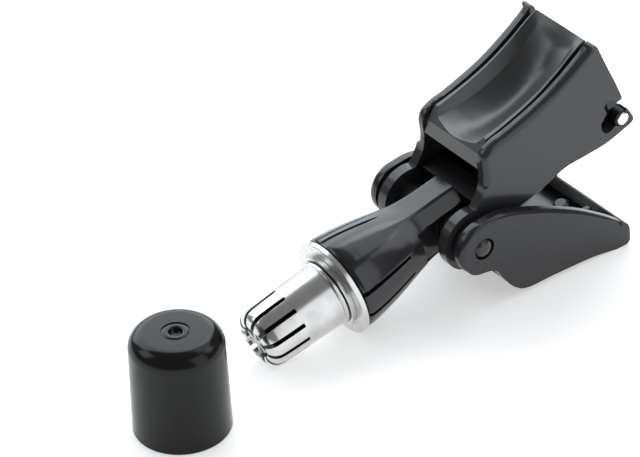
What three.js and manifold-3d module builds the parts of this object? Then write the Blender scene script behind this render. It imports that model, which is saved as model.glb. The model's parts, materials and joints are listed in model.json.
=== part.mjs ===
// Squeeze-lever nose hair trimmer with its loose cap, in millimetres, +Z up.
//
// The trimmer is drawn in a frame of its own, with +X forward along the cutter, +Z on the thumb's side and
// its origin on the lever's pivot. It is then pitched nose down until it rests on the lever's heel and on
// the cutter, and the whole set is centred over the origin, standing on z = 0.
import * as THREE from 'three';
import { mergeVertices } from 'three/addons/utils/BufferGeometryUtils.js';
import Module from 'manifold-3d';

// ---------------------------------------------------------------- driving dimensions
const AXIS_Z = 0.4; // height of the cutter's axis over the pivot
const RUNNING_GAP = 0.1;
const SEAT_GAP = 0.15;

const BODY_HALF = 9.5; // outer face of a side shell
const BODY_WALL = 2.0;
const BODY_INNER = BODY_HALF - BODY_WALL;
const EAR_RADIUS = 5.7;
const EAR_BOSS_RADIUS = 2.95;
const EAR_BOSS_END = 4.5;

const LEVER_HALF = 13.1;
const LEVER_WALL = 2.0;
const LEVER_INNER = LEVER_HALF - LEVER_WALL;
const LEVER_FLOOR = 1.8;
const LEVER_EYE_RADIUS = 5.0;
const HEEL_X = -27.1;
const HEEL_Z = -20.1;

const PIVOT_RADIUS = 1.95;
const PIVOT_HEAD = 13.45; // crown of the domed end
const REAR_PIN = { x: -35.4, z: 2.4, radius: 1.3 };
const BODY_SCREWS = [[-20.5, 8.3], [-29.5, 11.2]];

const BARREL_FRONT = 22.5;
const BARREL_BACK = -3.2;
const BARREL_RADIUS = 8.9;
const NECK_RADIUS = 5.8;
const NECK_FACETS = 8;
const BARREL_BORE = 4.4;
const NECK_BORE = 2.7;
const GROOVE_ANGLES = [90, 270, 15, -15, 165, 195]; // degrees, from the left side over the top

const COLLAR_RADIUS = 9.05;
const COLLAR_END = 23.6;
const STEP_RADIUS = 6.8;
const STEP_END = 24.6;
const CUTTER_BASE_RADIUS = 6.0;
const CUTTER_TIP = 40.5;
const CUTTER_SLOTS = 12;
const SLOT_WIDTH = 0.8;
const SLOT_START = 31.3;

const SECTOR_MODULE = 0.75;
const SECTOR_TEETH = 40; // of the full wheel
const DRIVE_TEETH = 8;
const CROWN_MODULE = 0.5;
const CROWN_TEETH = 20;
const SHAFT_TEETH = 8;
const SHAFT_RADIUS = 1.5;
const SHAFT_TAIL_RADIUS = 0.9;
const ARBOR_RADIUS = 1.0;
const SECTOR_Y = [-5.2, -3.2];

const CURVE_STEPS = 4; // per span of an outline's curves

const CAP = { radius: 8.45, top: 8.15, height: 19.5, shoulder: 3.0, wall: 1.1, ahead: 19.8, side: 4.8 };

// ---------------------------------------------------------------- worked-out places
// The plane that the trimmer stands on touches the lever's heel and the collar's rim.
const PITCH = Math.atan2(AXIS_Z - COLLAR_RADIUS - HEEL_Z, COLLAR_END - HEEL_X);
const SECTOR_RADIUS = SECTOR_MODULE * SECTOR_TEETH / 2;
const DRIVE_RADIUS = SECTOR_MODULE * DRIVE_TEETH / 2;
const CROWN_RADIUS = CROWN_MODULE * CROWN_TEETH / 2;
const SHAFT_GEAR_RADIUS = CROWN_MODULE * SHAFT_TEETH / 2;
const CENTRES = SECTOR_RADIUS + DRIVE_RADIUS;
const ARBOR_X = -Math.sqrt(CENTRES ** 2 - AXIS_Z ** 2);
const ARBOR_ANGLE = Math.atan2(AXIS_Z, ARBOR_X);

// ---------------------------------------------------------------- finishes
const finish = (color, roughness, metalness) => new THREE.MeshStandardMaterial({ color, roughness, metalness });
const BLACK_GLOSS = finish(0x121316, 0.22, 0);
const BLACK_SATIN = finish(0x1c1d20, 0.45, 0);
const STEEL = finish(0xc9cacc, 0.25, 1);
const SPRING_STEEL = finish(0x9a9c9f, 0.35, 1);
const BRASS = finish(0xb59a55, 0.35, 1);
const NYLON = finish(0xd8d5c8, 0.5, 0);

// ---------------------------------------------------------------- solids
const wasm = await Module();
wasm.setup();

function toSolid(geometry) {
  const bare = geometry.clone();
  bare.deleteAttribute('normal');
  bare.deleteAttribute('uv');
  const merged = mergeVertices(bare, 1e-4);
  const vertProperties = new Float32Array(merged.attributes.position.array);
  const triVerts = new Uint32Array(merged.index.array);
  return new wasm.Manifold(new wasm.Mesh({ numProp: 3, vertProperties, triVerts }));
}

function toGeometry(solid) {
  const mesh = solid.getMesh();
  const geometry = new THREE.BufferGeometry();
  geometry.setAttribute('position', new THREE.BufferAttribute(mesh.vertProperties, 3));
  geometry.setIndex(new THREE.BufferAttribute(mesh.triVerts, 1));
  geometry.computeVertexNormals();
  return geometry;
}

const union = (...solids) => solids.reduce((all, next) => all.add(next));
const cut = (solid, ...tools) => tools.reduce((left, tool) => left.subtract(tool), solid);

// An outline in the x-z plane, given a thickness from y0 to y1.
function plate(shape, y0, y1, curveSegments = CURVE_STEPS) {
  const geometry = new THREE.ExtrudeGeometry(shape, { depth: y1 - y0, bevelEnabled: false, curveSegments });
  geometry.rotateX(Math.PI / 2);
  geometry.translate(0, y1, 0);
  return toSolid(geometry);
}

// A profile of [radius, x] points turned about the cutter's axis.
function turnedOnX(profile, segments = 40, z = AXIS_Z) {
  const geometry = new THREE.LatheGeometry(profile.map(([r, x]) => new THREE.Vector2(r, x)), segments);
  geometry.rotateZ(-Math.PI / 2);
  geometry.translate(0, 0, z);
  return toSolid(geometry);
}

// A profile of [radius, y] points turned about an axis along y through (x, z).
function turnedOnY(profile, x, z, segments = 28) {
  const geometry = new THREE.LatheGeometry(profile.map(([r, y]) => new THREE.Vector2(r, y)), segments);
  geometry.translate(x, 0, z);
  return toSolid(geometry);
}

const rod = (radius, x0, x1, segments) => turnedOnX([[0, x0], [radius, x0], [radius, x1], [0, x1]], segments);
const pin = (radius, y0, y1, x, z, segments) => (
  turnedOnY([[0, y0], [radius, y0], [radius, y1], [0, y1]], x, z, segments));

function ring(outer, inner, x0, x1, segments) {
  return turnedOnX([[inner, x0], [outer, x0], [outer, x1], [inner, x1], [inner, x0]], segments);
}

function block(x0, x1, y0, y1, z0, z1) {
  const geometry = new THREE.BoxGeometry(x1 - x0, y1 - y0, z1 - z0);
  geometry.translate((x0 + x1) / 2, (y0 + y1) / 2, (z0 + z1) / 2);
  return toSolid(geometry);
}

const mirrored = (solid) => solid.mirror([0, 1, 0]);
const points = (...pairs) => pairs.map(([x, z]) => new THREE.Vector2(x, z));

function part(name, solid, material) {
  const mesh = new THREE.Mesh(toGeometry(solid), material);
  mesh.name = name;
  return mesh;
}

// ---------------------------------------------------------------- body shells
function cheekOutline() {
  const shape = new THREE.Shape();
  const degrees = THREE.MathUtils.degToRad;
  shape.absarc(0, 0, EAR_RADIUS, degrees(115), degrees(-105), true);
  shape.splineThru(points([-5.6, -3.6], [-9.6, -0.6], [-13.4, -0.1], [-16.9, 0.2]));
  shape.splineThru(points([-21.5, 1.0], [-26.0, 0.5], [-31.0, 0.0], [-36.4, 0.5]));
  shape.quadraticCurveTo(-37.5, 0.8, -37.4, 1.8);
  shape.lineTo(-36.7, 4.2);
  shape.lineTo(-35.5, 4.2);
  // keyhole behind the pin: a throat, an upper lobe and a lower lobe
  shape.lineTo(-34.2, 1.2);
  shape.lineTo(-32.4, 1.1);
  shape.quadraticCurveTo(-30.4, 1.4, -30.4, 3.4);
  shape.lineTo(-30.8, 4.9);
  shape.lineTo(-32.4, 5.8);
  shape.lineTo(-32.0, 7.7);
  shape.quadraticCurveTo(-33.0, 8.5, -34.0, 8.0);
  shape.lineTo(-34.7, 6.7);
  shape.lineTo(-35.8, 6.7);
  shape.quadraticCurveTo(-36.2, 7.0, -36.0, 7.7);
  shape.splineThru(points([-35.4, 11.2], [-34.5, 15.4], [-33.6, 20.0]));
  shape.quadraticCurveTo(-33.4, 21.5, -32.5, 21.3);
  shape.splineThru(points([-30.6, 20.2], [-26.7, 18.6], [-21.7, 17.0], [-16.9, 16.1], [-12.3, 15.6]));
  shape.splineThru(points([-9.6, 15.5], [-7.3, 14.8], [-6.1, 13.2]));
  shape.splineThru(points([-5.7, 10.2], [-4.7, 7.5], [-2.41, 5.17]));
  return shape;
}

function sideShell() {
  const pinHole = pin(REAR_PIN.radius + 0.06, BODY_INNER - 1, BODY_HALF + 1, REAR_PIN.x, REAR_PIN.z);
  const boss = pin(EAR_BOSS_RADIUS, EAR_BOSS_END, BODY_INNER + 0.5, 0, 0);
  const pivotHole = pin(PIVOT_RADIUS + RUNNING_GAP, EAR_BOSS_END + 0.6, BODY_HALF + 1, 0, 0);
  const shell = union(plate(cheekOutline(), BODY_INNER, BODY_HALF), boss);
  return cut(shell, pinHole, pivotHole);
}

// The left shell carries the two long screw posts, the right one the sunk screw heads.
function leftShell() {
  const posts = BODY_SCREWS.map(([x, z]) => pin(1.9, -BODY_INNER + SEAT_GAP, BODY_INNER + 0.5, x, z, 20));
  const pilots = BODY_SCREWS.map(([x, z]) => pin(0.95, -BODY_INNER - 1, 1.5, x, z, 16));
  return cut(union(sideShell(), ...posts), ...pilots);
}

function rightShell() {
  const holes = BODY_SCREWS.flatMap(([x, z]) => [
    pin(1.2, -BODY_HALF - 1, -BODY_INNER + 1, x, z, 16),
    pin(2.15, -BODY_HALF - 1, -BODY_HALF + 1.1, x, z, 20),
  ]);
  return cut(mirrored(sideShell()), ...holes);
}

function bodyScrew([x, z]) {
  const head = pin(2.0, -BODY_HALF + 0.1, -BODY_HALF + 1.0, x, z, 20);
  const shank = pin(0.85, -BODY_HALF + 0.5, 0.5, x, z, 14);
  const slots = [block(x - 1.3, x + 1.3, -BODY_HALF - 1, -BODY_HALF + 0.5, z - 0.2, z + 0.2),
    block(x - 0.2, x + 0.2, -BODY_HALF - 1, -BODY_HALF + 0.5, z - 1.3, z + 1.3)];
  return cut(union(head, shank), ...slots);
}

// Scooped rest for the thumb, with the body's front lip and its rear wall.
function thumbRest() {
  const half = BODY_INNER - SEAT_GAP;
  const wall = new THREE.Shape();
  wall.moveTo(-5.9, 11.1);
  wall.lineTo(-7.6, 14.3);
  wall.lineTo(-8.8, 15.0);
  wall.splineThru(points([-12.3, 15.2], [-16.9, 15.7], [-21.7, 16.6], [-26.7, 18.2], [-30.6, 19.8], [-32.4, 20.7]));
  wall.lineTo(-33.2, 20.2);
  wall.splineThru(points([-34.1, 15.4], [-34.9, 11.4], [-35.8, 7.0]));
  // hanging slot, then the block that the rear pin runs through
  wall.lineTo(-34.1, 6.9);
  wall.lineTo(-34.1, 4.25);
  wall.lineTo(-36.4, 4.1);
  wall.lineTo(-37.05, 2.0);
  wall.lineTo(-36.8, 1.15);
  wall.lineTo(-33.0, 0.75);
  wall.lineTo(-29.9, 0.75);
  wall.lineTo(-29.9, 8.9);
  wall.lineTo(-33.6, 8.9);
  wall.splineThru(points([-33.2, 11.4], [-32.6, 14.4], [-31.4, 16.4]));
  wall.splineThru(points([-26.7, 13.0], [-21.7, 10.9], [-16.9, 10.3], [-12.0, 10.5], [-7.8, 10.9]));
  wall.lineTo(-5.9, 11.1);
  const hollowRadius = 7.6;
  const floorLine = [[-3.0, 14.6], [-7.1, 13.6], [-11.0, 12.4], [-16.9, 12.1], [-22.0, 13.0], [-27.0, 15.3],
    [-31.0, 18.2], [-36.0, 22.6]];
  const path = new THREE.CatmullRomCurve3(
    floorLine.map(([x, z]) => new THREE.Vector3(x, 0, z + hollowRadius)));
  const circle = new THREE.Shape();
  circle.absarc(0, 0, hollowRadius, 0, Math.PI * 2, false);
  const hollow = new THREE.ExtrudeGeometry(circle, { extrudePath: path, steps: 12, curveSegments: 14 });
  const pinHole = pin(REAR_PIN.radius + SEAT_GAP, -half - 1, half + 1, REAR_PIN.x, REAR_PIN.z, 24);
  return cut(plate(wall, -half, half, 5), toSolid(hollow), pinHole);
}

const rearPin = () => pin(REAR_PIN.radius, -BODY_HALF, BODY_HALF, REAR_PIN.x, REAR_PIN.z, 24);

// ---------------------------------------------------------------- barrel and gear frame
function barrel() {
  const outer = turnedOnX([[0, 3], [NECK_RADIUS, 3], [6.1, 6.5], [6.8, 9.5], [7.6, 13], [8.3, 16.5],
    [8.75, 19.5], [BARREL_RADIUS, 21.8], [BARREL_RADIUS - 0.3, BARREL_FRONT], [0, BARREL_FRONT]], 48);
  const neck = turnedOnX([[0, BARREL_BACK], [NECK_RADIUS, BARREL_BACK], [NECK_RADIUS + 0.25, 6.5], [0, 6.5]],
    NECK_FACETS);
  const pocket = block(BARREL_BACK - 1, 7.0, EAR_BOSS_END - 0.3, 12, -3.3, 3.6);
  const bores = [rod(BARREL_BORE, 8, BARREL_FRONT + 1, 32), rod(NECK_BORE, BARREL_BACK - 1, 9, 24)];
  const grooves = GROOVE_ANGLES.map(barrelGroove);
  return cut(union(outer, neck), pocket, mirrored(pocket), ...bores, ...grooves);
}

// A groove that is widest and deepest at the barrel's front rim and runs out towards the neck.
function barrelGroove(degrees) {
  const wedge = new THREE.Shape();
  wedge.moveTo(BARREL_FRONT + 1, -0.62);
  wedge.lineTo(BARREL_FRONT + 1, 0.62);
  wedge.lineTo(8.5, 0.2);
  wedge.lineTo(8.5, -0.2);
  wedge.closePath();
  const geometry = new THREE.ExtrudeGeometry(wedge, { depth: 3, bevelEnabled: false });
  geometry.rotateY(-THREE.MathUtils.degToRad(3.5));
  geometry.translate(0, 0, BARREL_RADIUS - 2.3);
  geometry.rotateX(THREE.MathUtils.degToRad(degrees - 90));
  geometry.translate(0, 0, AXIS_Z);
  return toSolid(geometry);
}

function gearFrame() {
  const web = block(-7.6, BARREL_BACK - SEAT_GAP, -BODY_INNER + SEAT_GAP, BODY_INNER - SEAT_GAP, -4.4, 5.2);
  const arm = block(ARBOR_X - 3, -6.0, 5.7, BODY_INNER - SEAT_GAP, AXIS_Z - 2.2, AXIS_Z + 2.6);
  const holes = [pin(ARBOR_RADIUS + RUNNING_GAP, -12, 12, ARBOR_X, AXIS_Z, 20), rod(NECK_BORE, -9, -2, 24)];
  return cut(union(web, arm, mirrored(arm)), ...holes);
}

// ---------------------------------------------------------------- cutter head
const collar = () => turnedOnX([[4.55, BARREL_FRONT + SEAT_GAP], [COLLAR_RADIUS, BARREL_FRONT + SEAT_GAP],
  [COLLAR_RADIUS, COLLAR_END], [STEP_RADIUS, COLLAR_END], [STEP_RADIUS, STEP_END], [4.55, STEP_END],
  [4.55, BARREL_FRONT + SEAT_GAP]], 48);

function outerCutter() {
  const back = STEP_END + SEAT_GAP;
  const shell = turnedOnX([[5.2, back], [CUTTER_BASE_RADIUS + 0.25, back], [CUTTER_BASE_RADIUS + 0.25, 25.4],
    [CUTTER_BASE_RADIUS - 0.15, 25.5], [CUTTER_BASE_RADIUS - 0.05, 26.2], [5.75, 33], [5.55, 38.2],
    [5.2, 39.4], [4.4, 40.2], [3.2, CUTTER_TIP], [2.1, 40.35], [2.1, 39.5], [4.1, 38.8], [4.8, 37.4],
    [5.0, 33], [5.2, 28], [5.2, back]], 36);
  const slots = Array.from({ length: CUTTER_SLOTS }, (_, i) => cutterSlot(i * 360 / CUTTER_SLOTS + 15));
  return cut(shell, ...slots);
}

function cutterSlot(degrees) {
  const geometry = new THREE.BoxGeometry(CUTTER_TIP + 1 - SLOT_START, 5.6, SLOT_WIDTH);
  geometry.translate((CUTTER_TIP + 1 + SLOT_START) / 2, 4.0 + 1.2, 0);
  geometry.rotateX(THREE.MathUtils.degToRad(degrees));
  geometry.translate(0, 0, AXIS_Z);
  return toSolid(geometry);
}

// Spinning inner blade: a hub with six cutting wings that follow the inside of the slotted shell.
function innerCutter() {
  const envelope = turnedOnX([[0, 25.4], [4.6, 25.4], [4.65, 36.8], [3.9, 38.1], [1.7, 38.7], [1.7, 39.9],
    [0, 39.9]], 36);
  const hub = rod(1.7, 25.4, 39.9, 24);
  const flange = rod(4.6, 25.4, 27.2, 36);
  const wings = [0, 60, 120].map((degrees) => {
    const wing = new THREE.BoxGeometry(14.5, 9.6, 0.9);
    wing.translate(25.4 + 7.25, 0, 0);
    wing.rotateX(THREE.MathUtils.degToRad(degrees));
    wing.translate(0, 0, AXIS_Z);
    return toSolid(wing);
  });
  const socket = block(24, 29.4, -1.0, 1.0, AXIS_Z - 0.65, AXIS_Z + 0.65);
  return cut(union(hub, flange, ...wings).intersect(envelope), socket);
}

// ---------------------------------------------------------------- drive shaft
function driveShaft() {
  const front = rod(SHAFT_RADIUS, -11.0, 23.8, 24);
  const tang = block(23.0, 29.0, -0.85, 0.85, AXIS_Z - 0.5, AXIS_Z + 0.5);
  const tail = rod(SHAFT_TAIL_RADIUS, -14.4, -10.5, 18);
  const clipGroove = ring(3, SHAFT_RADIUS - 0.35, 16.5, 17.3, 24);
  return cut(union(front, tang, tail), clipGroove);
}

const bush = (outer, x0, x1) => ring(outer, SHAFT_RADIUS + 0.08, x0, x1, 28);

function retainingRing() {
  const slot = block(15, 19, -0.9, 0.9, AXIS_Z, AXIS_Z + 6);
  return cut(ring(2.7, SHAFT_RADIUS - 0.27, 16.58, 17.22, 28), slot);
}

// A wire of the given radius wound about an axis along x, as an extruded helix.
function coil(wire, radius, x0, x1, turns, sides = 3, stepsPerTurn = 12) {
  class Helix extends THREE.Curve {
    getPoint(t, target = new THREE.Vector3()) {
      const angle = t * turns * Math.PI * 2;
      return target.set(x0 + (x1 - x0) * t, radius * Math.cos(angle), radius * Math.sin(angle));
    }
  }
  const section = new THREE.Shape();
  section.absarc(0, 0, wire, 0, Math.PI * 2, false);
  return new THREE.ExtrudeGeometry(section, {
    extrudePath: new Helix(), steps: Math.round(turns * stepsPerTurn), curveSegments: sides });
}

function cutterSpring() {
  const geometry = coil(0.25, 2.6, 22.4, 25.0, 3);
  geometry.translate(0, 0, AXIS_Z);
  return toSolid(geometry);
}

// ---------------------------------------------------------------- gears
// Outline of straight-flanked teeth about the origin, with a tooth centred on the first angle.
function toothedShape(module, teeth, firstAngle) {
  const radius = module * teeth / 2;
  const pitch = Math.PI * 2 / teeth;
  const shape = new THREE.Shape();
  for (let i = 0; i < teeth; i += 1) {
    toothCorners(radius, module, pitch, firstAngle + i * pitch).forEach(([x, z], corner) => {
      if (i === 0 && corner === 0) shape.moveTo(x, z);
      else shape.lineTo(x, z);
    });
  }
  shape.closePath();
  return shape;
}

function toothCorners(radius, module, pitch, centre) {
  const root = radius - 0.95 * module;
  const tip = radius + 0.7 * module;
  return [[root, -0.27], [tip, -0.1], [tip, 0.1], [root, 0.27]].map(([r, share]) => {
    const angle = centre + share * pitch;
    return [r * Math.cos(angle), r * Math.sin(angle)];
  });
}

function drivePinion() {
  const facing = ARBOR_ANGLE + Math.PI + Math.PI / DRIVE_TEETH;
  const gear = plate(toothedShape(SECTOR_MODULE, DRIVE_TEETH, facing), SECTOR_Y[0] - 0.1, SECTOR_Y[1] + 0.1);
  const hub = pin(1.9, SECTOR_Y[1], 2.0, 0, 0, 20);
  const bore = pin(ARBOR_RADIUS + 0.05, -12, 12, 0, 0, 20);
  return cut(union(gear, hub), bore).translate([ARBOR_X, 0, AXIS_Z]);
}

// Face gear: its teeth stand on the disc's inner face and point at the drive shaft.
function crownGear() {
  const faceY = SHAFT_GEAR_RADIUS + 0.9;
  const tipY = SHAFT_GEAR_RADIUS - 0.35;
  const disc = turnedOnY([[0, faceY], [CROWN_RADIUS + 0.7, faceY], [CROWN_RADIUS + 0.7, faceY + 1.6],
    [0, faceY + 1.6]], 0, 0, 40);
  const thickness = 0.27 * Math.PI * CROWN_MODULE * 2;
  const tooth = (angle) => {
    const shape = new THREE.Shape();
    shape.moveTo(-thickness * 0.55, 0);
    shape.lineTo(-thickness * 0.25, -(faceY - tipY));
    shape.lineTo(thickness * 0.25, -(faceY - tipY));
    shape.lineTo(thickness * 0.55, 0);
    shape.lineTo(thickness * 0.5, 0.3);
    shape.lineTo(-thickness * 0.5, 0.3);
    shape.closePath();
    const geometry = new THREE.ExtrudeGeometry(shape, { depth: 1.5, bevelEnabled: false });
    geometry.translate(0, faceY, CROWN_RADIUS - 0.8);
    geometry.rotateY(Math.PI / 2 + angle);
    return toSolid(geometry);
  };
  const teeth = Array.from({ length: CROWN_TEETH }, (_, i) => tooth(i * Math.PI * 2 / CROWN_TEETH));
  const bore = pin(ARBOR_RADIUS + 0.05, -12, 12, 0, 0, 20);
  return cut(union(disc, ...teeth), bore).translate([ARBOR_X, 0, AXIS_Z]);
}

function shaftPinion() {
  const shape = toothedShape(CROWN_MODULE, SHAFT_TEETH, Math.PI / SHAFT_TEETH);
  const geometry = new THREE.ExtrudeGeometry(shape, { depth: 1.8, bevelEnabled: false });
  geometry.rotateY(Math.PI / 2);
  geometry.rotateX(Math.PI);
  geometry.translate(-13.9, 0, AXIS_Z);
  return cut(toSolid(geometry), rod(SHAFT_TAIL_RADIUS + 0.05, -16, -10, 18));
}

const gearArbor = () => pin(ARBOR_RADIUS, -BODY_INNER + 0.3, BODY_INNER - 0.3, ARBOR_X, AXIS_Z, 20);

// Toothed arc on the lever, on a foot that stands on the lever's floor.
function sectorGear() {
  const pitch = Math.PI * 2 / SECTOR_TEETH;
  const corners = [-1, 0, 1, 2, 3, 4].flatMap((i) => (
    toothCorners(SECTOR_RADIUS, SECTOR_MODULE, pitch, ARBOR_ANGLE + i * pitch)));
  const shape = new THREE.Shape();
  shape.moveTo(...corners[0]);
  corners.slice(1).forEach(([x, z]) => shape.lineTo(x, z));
  shape.lineTo(-9.4, -10.6);
  shape.lineTo(-9.4, -7.0);
  shape.lineTo(-10.8, 0.6);
  shape.lineTo(-11.6, 3.4);
  shape.closePath();
  const web = plate(shape, SECTOR_Y[0], SECTOR_Y[1]);
  const foot = new THREE.Shape();
  foot.moveTo(-7.4, -12.35);
  foot.lineTo(-7.4, -11.3);
  foot.lineTo(-9.4, -9.0);
  foot.lineTo(-10.9, -9.1);
  foot.lineTo(-15.4, -13.2);
  foot.lineTo(-15.4, -14.35);
  foot.closePath();
  return union(web, plate(foot, SECTOR_Y[0], SECTOR_Y[1]));
}

// ---------------------------------------------------------------- lever
function leverOutline() {
  const shape = new THREE.Shape();
  const degrees = THREE.MathUtils.degToRad;
  shape.absarc(0, 0, LEVER_EYE_RADIUS, degrees(100), degrees(-62), true);
  shape.splineThru(points([-0.9, -5.9], [-2.2, -8.9], [-3.8, -12.1], [-6.3, -14.2]));
  shape.splineThru(points([-12.2, -15.6], [-20.6, -17.8], [-26.2, -20.0]));
  shape.quadraticCurveTo(-28.4, -20.7, -29.2, -18.4);
  shape.quadraticCurveTo(-29.6, -16.8, -28.3, -15.4);
  shape.splineThru(points([-25.4, -11.8], [-20.0, -6.3], [-12.9, -0.6], [-5.6, 4.0], [-0.87, 4.924]));
  return shape;
}

function leverFloorOutline() {
  const shape = new THREE.Shape();
  shape.moveTo(-3.4, -11.5);
  shape.splineThru(points([-3.8, -12.1], [-6.3, -14.2]));
  shape.splineThru(points([-12.2, -15.6], [-20.6, -17.8], [-26.2, -20.0]));
  shape.quadraticCurveTo(-28.4, -20.7, -29.2, -18.4);
  shape.quadraticCurveTo(-29.6, -16.8, -28.3, -15.4);
  shape.lineTo(-27.0, -16.4);
  shape.lineTo(-27.2, -18.2);
  shape.splineThru(points([-20.0, -15.8], [-12.4, -13.9], [-6.9, -12.5]));
  shape.lineTo(-5.0, -10.6);
  shape.closePath();
  return shape;
}

function lever() {
  const eye = pin(PIVOT_RADIUS + RUNNING_GAP, LEVER_INNER - 1, LEVER_HALF + 1, 0, 0, 28);
  const cheek = cut(plate(leverOutline(), LEVER_INNER, LEVER_HALF), eye);
  const floor = plate(leverFloorOutline(), -LEVER_INNER - 0.5, LEVER_INNER + 0.5);
  const ribShape = new THREE.Shape(points([-17.5, -15.9], [-26.5, -18.8], [-27.4, -15.6], [-17.5, -13.6]));
  const rib = plate(ribShape, 3.9, 5.1);
  const post = turnedOnZ(1.5, -18.4, -15.4).translate([-24.6, 0, 0]);
  const body = union(cheek, mirrored(cheek), floor, rib, post);
  return cut(body, belowHeel());
}

function turnedOnZ(radius, z0, z1) {
  const geometry = new THREE.CylinderGeometry(radius, radius, z1 - z0, 24);
  geometry.rotateX(Math.PI / 2);
  geometry.translate(0, 0, (z0 + z1) / 2);
  return toSolid(geometry);
}

// Everything under the plane that the trimmer stands on, so that the heel gets a small flat.
function belowHeel() {
  const geometry = new THREE.BoxGeometry(60, 40, 10);
  geometry.translate(0, 0, -5);
  geometry.rotateY(-PITCH);
  geometry.translate(HEEL_X, 0, HEEL_Z);
  return toSolid(geometry);
}

function pivotPin() {
  return turnedOnY([[0, EAR_BOSS_END + 0.8], [PIVOT_RADIUS, EAR_BOSS_END + 0.8], [PIVOT_RADIUS, 13.0],
    [1.5, 13.3], [0, PIVOT_HEAD]], 0, 0, 28);
}

const pivotWasher = () => turnedOnY([[2.15, 9.65], [4.4, 9.65], [4.4, 10.95], [2.15, 10.95], [2.15, 9.65]],
  0, 0, 28);

function returnSpring() {
  const geometry = coil(0.25, 2.7, 0, 0.75, 1.6);
  geometry.rotateZ(-Math.PI / 2);
  geometry.translate(0, -9.9, 0);
  return toSolid(geometry);
}

// ---------------------------------------------------------------- cap
function capShell() {
  const { radius, top, height, shoulder, wall } = CAP;
  const arc = (r, inset, rise) => Array.from({ length: 5 }, (_, i) => {
    const angle = i / 4 * Math.PI / 2;
    return [r - inset + inset * Math.cos(angle), rise - inset + inset * Math.sin(angle)];
  });
  const profile = [[radius - wall, 0], [radius - 0.25, 0], [radius, 0.3], ...arc(top, shoulder, height),
    [2.6, height], [2.3, height - 0.35], [1.5, height - 0.45], [1.2, height - 0.9], [0, height - 0.9],
    [0, height - wall - 0.9], ...arc(top - wall, shoulder - wall, height - wall).reverse(), [radius - wall, 0]];
  const geometry = new THREE.LatheGeometry(profile.map(([r, z]) => new THREE.Vector2(r, z)), 36);
  geometry.rotateX(Math.PI / 2);
  return toSolid(geometry);
}

// ---------------------------------------------------------------- assembly
const trimmer = new THREE.Group();
trimmer.add(
  part('side_shell_left', leftShell(), BLACK_GLOSS),
  part('side_shell_right', rightShell(), BLACK_GLOSS),
  part('thumb_rest', thumbRest(), BLACK_SATIN),
  part('rear_pin', rearPin(), STEEL),
  part('barrel', barrel(), BLACK_GLOSS),
  part('gear_frame', gearFrame(), BLACK_SATIN),
  part('collar', collar(), STEEL),
  part('outer_cutter', outerCutter(), STEEL),
  part('inner_cutter', innerCutter(), STEEL),
  part('cutter_spring', cutterSpring(), SPRING_STEEL),
  part('drive_shaft', driveShaft(), STEEL),
  part('front_bush', bush(BARREL_BORE - SEAT_GAP, 17.6, 21.4), BRASS),
  part('rear_bush', bush(NECK_BORE - SEAT_GAP, -7.4, 1.0), BRASS),
  part('retaining_ring', retainingRing(), SPRING_STEEL),
  part('shaft_pinion', shaftPinion(), BRASS),
  part('crown_gear', crownGear(), NYLON),
  part('drive_pinion', drivePinion(), BRASS),
  part('gear_arbor', gearArbor(), STEEL),
  part('lever', lever(), BLACK_GLOSS),
  part('sector_gear', sectorGear(), BLACK_SATIN),
  part('pivot_pin_left', pivotPin(), BLACK_GLOSS),
  part('pivot_pin_right', mirrored(pivotPin()), BLACK_GLOSS),
  part('pivot_washer', pivotWasher(), BLACK_SATIN),
  part('return_spring', returnSpring(), SPRING_STEEL),
);
BODY_SCREWS.forEach((place, i) => trimmer.add(part(`body_screw_${i + 1}`, bodyScrew(place), STEEL)));
trimmer.rotation.y = PITCH;
trimmer.updateMatrixWorld(true);

const cap = part('cap', capShell(), BLACK_GLOSS);
const restPoint = new THREE.Vector3(HEEL_X, 0, HEEL_Z).applyMatrix4(trimmer.matrixWorld);
const tipPoint = new THREE.Vector3(CUTTER_TIP - 1, 0, 0).applyMatrix4(trimmer.matrixWorld);
cap.position.set(tipPoint.x + CAP.ahead, CAP.side, restPoint.z);

const group = new THREE.Group();
group.add(trimmer, cap);
const bounds = new THREE.Box3().setFromObject(group, true);
group.position.set(-(bounds.min.x + bounds.max.x) / 2, 0, -restPoint.z);

export default group;
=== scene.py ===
"""Squeeze-lever nose hair trimmer with its loose cap: shells, thumb rest, steel cutter head and gears.

Each sub-assembly is drawn in the trimmer's own frame, in millimetres, with +X forward along the cutter, +Y
to its left and +Z on the thumb's side, its origin on the lever's pivot. The bench then sets it in the frame.
"""
from __future__ import annotations

import json
import logging
import math
from collections.abc import Callable, Iterable, Sequence
from dataclasses import dataclass, field
from enum import Enum

import bmesh
import bpy
from mathutils import Matrix, Vector


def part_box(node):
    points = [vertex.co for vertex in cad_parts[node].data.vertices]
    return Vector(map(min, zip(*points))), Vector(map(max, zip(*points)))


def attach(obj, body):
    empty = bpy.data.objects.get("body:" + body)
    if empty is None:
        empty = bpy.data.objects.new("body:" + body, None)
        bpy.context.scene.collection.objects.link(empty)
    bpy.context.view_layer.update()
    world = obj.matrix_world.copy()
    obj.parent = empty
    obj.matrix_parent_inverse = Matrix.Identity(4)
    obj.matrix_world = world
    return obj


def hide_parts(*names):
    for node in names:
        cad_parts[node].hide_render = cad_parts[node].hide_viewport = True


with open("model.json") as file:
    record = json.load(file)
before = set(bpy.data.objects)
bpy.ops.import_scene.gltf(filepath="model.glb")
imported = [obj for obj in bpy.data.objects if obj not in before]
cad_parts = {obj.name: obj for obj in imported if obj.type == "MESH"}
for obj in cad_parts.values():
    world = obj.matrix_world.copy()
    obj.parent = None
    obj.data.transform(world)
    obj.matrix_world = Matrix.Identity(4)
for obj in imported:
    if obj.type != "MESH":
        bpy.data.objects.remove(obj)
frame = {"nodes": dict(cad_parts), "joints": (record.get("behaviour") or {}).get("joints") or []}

log = logging.getLogger("trimmer")
MM = 0.001
ARC_STEP = 4.0  # degrees for each chord of an arc
MERGE = 1e-4  # vertices nearer than this are one, in millimetres
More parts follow.
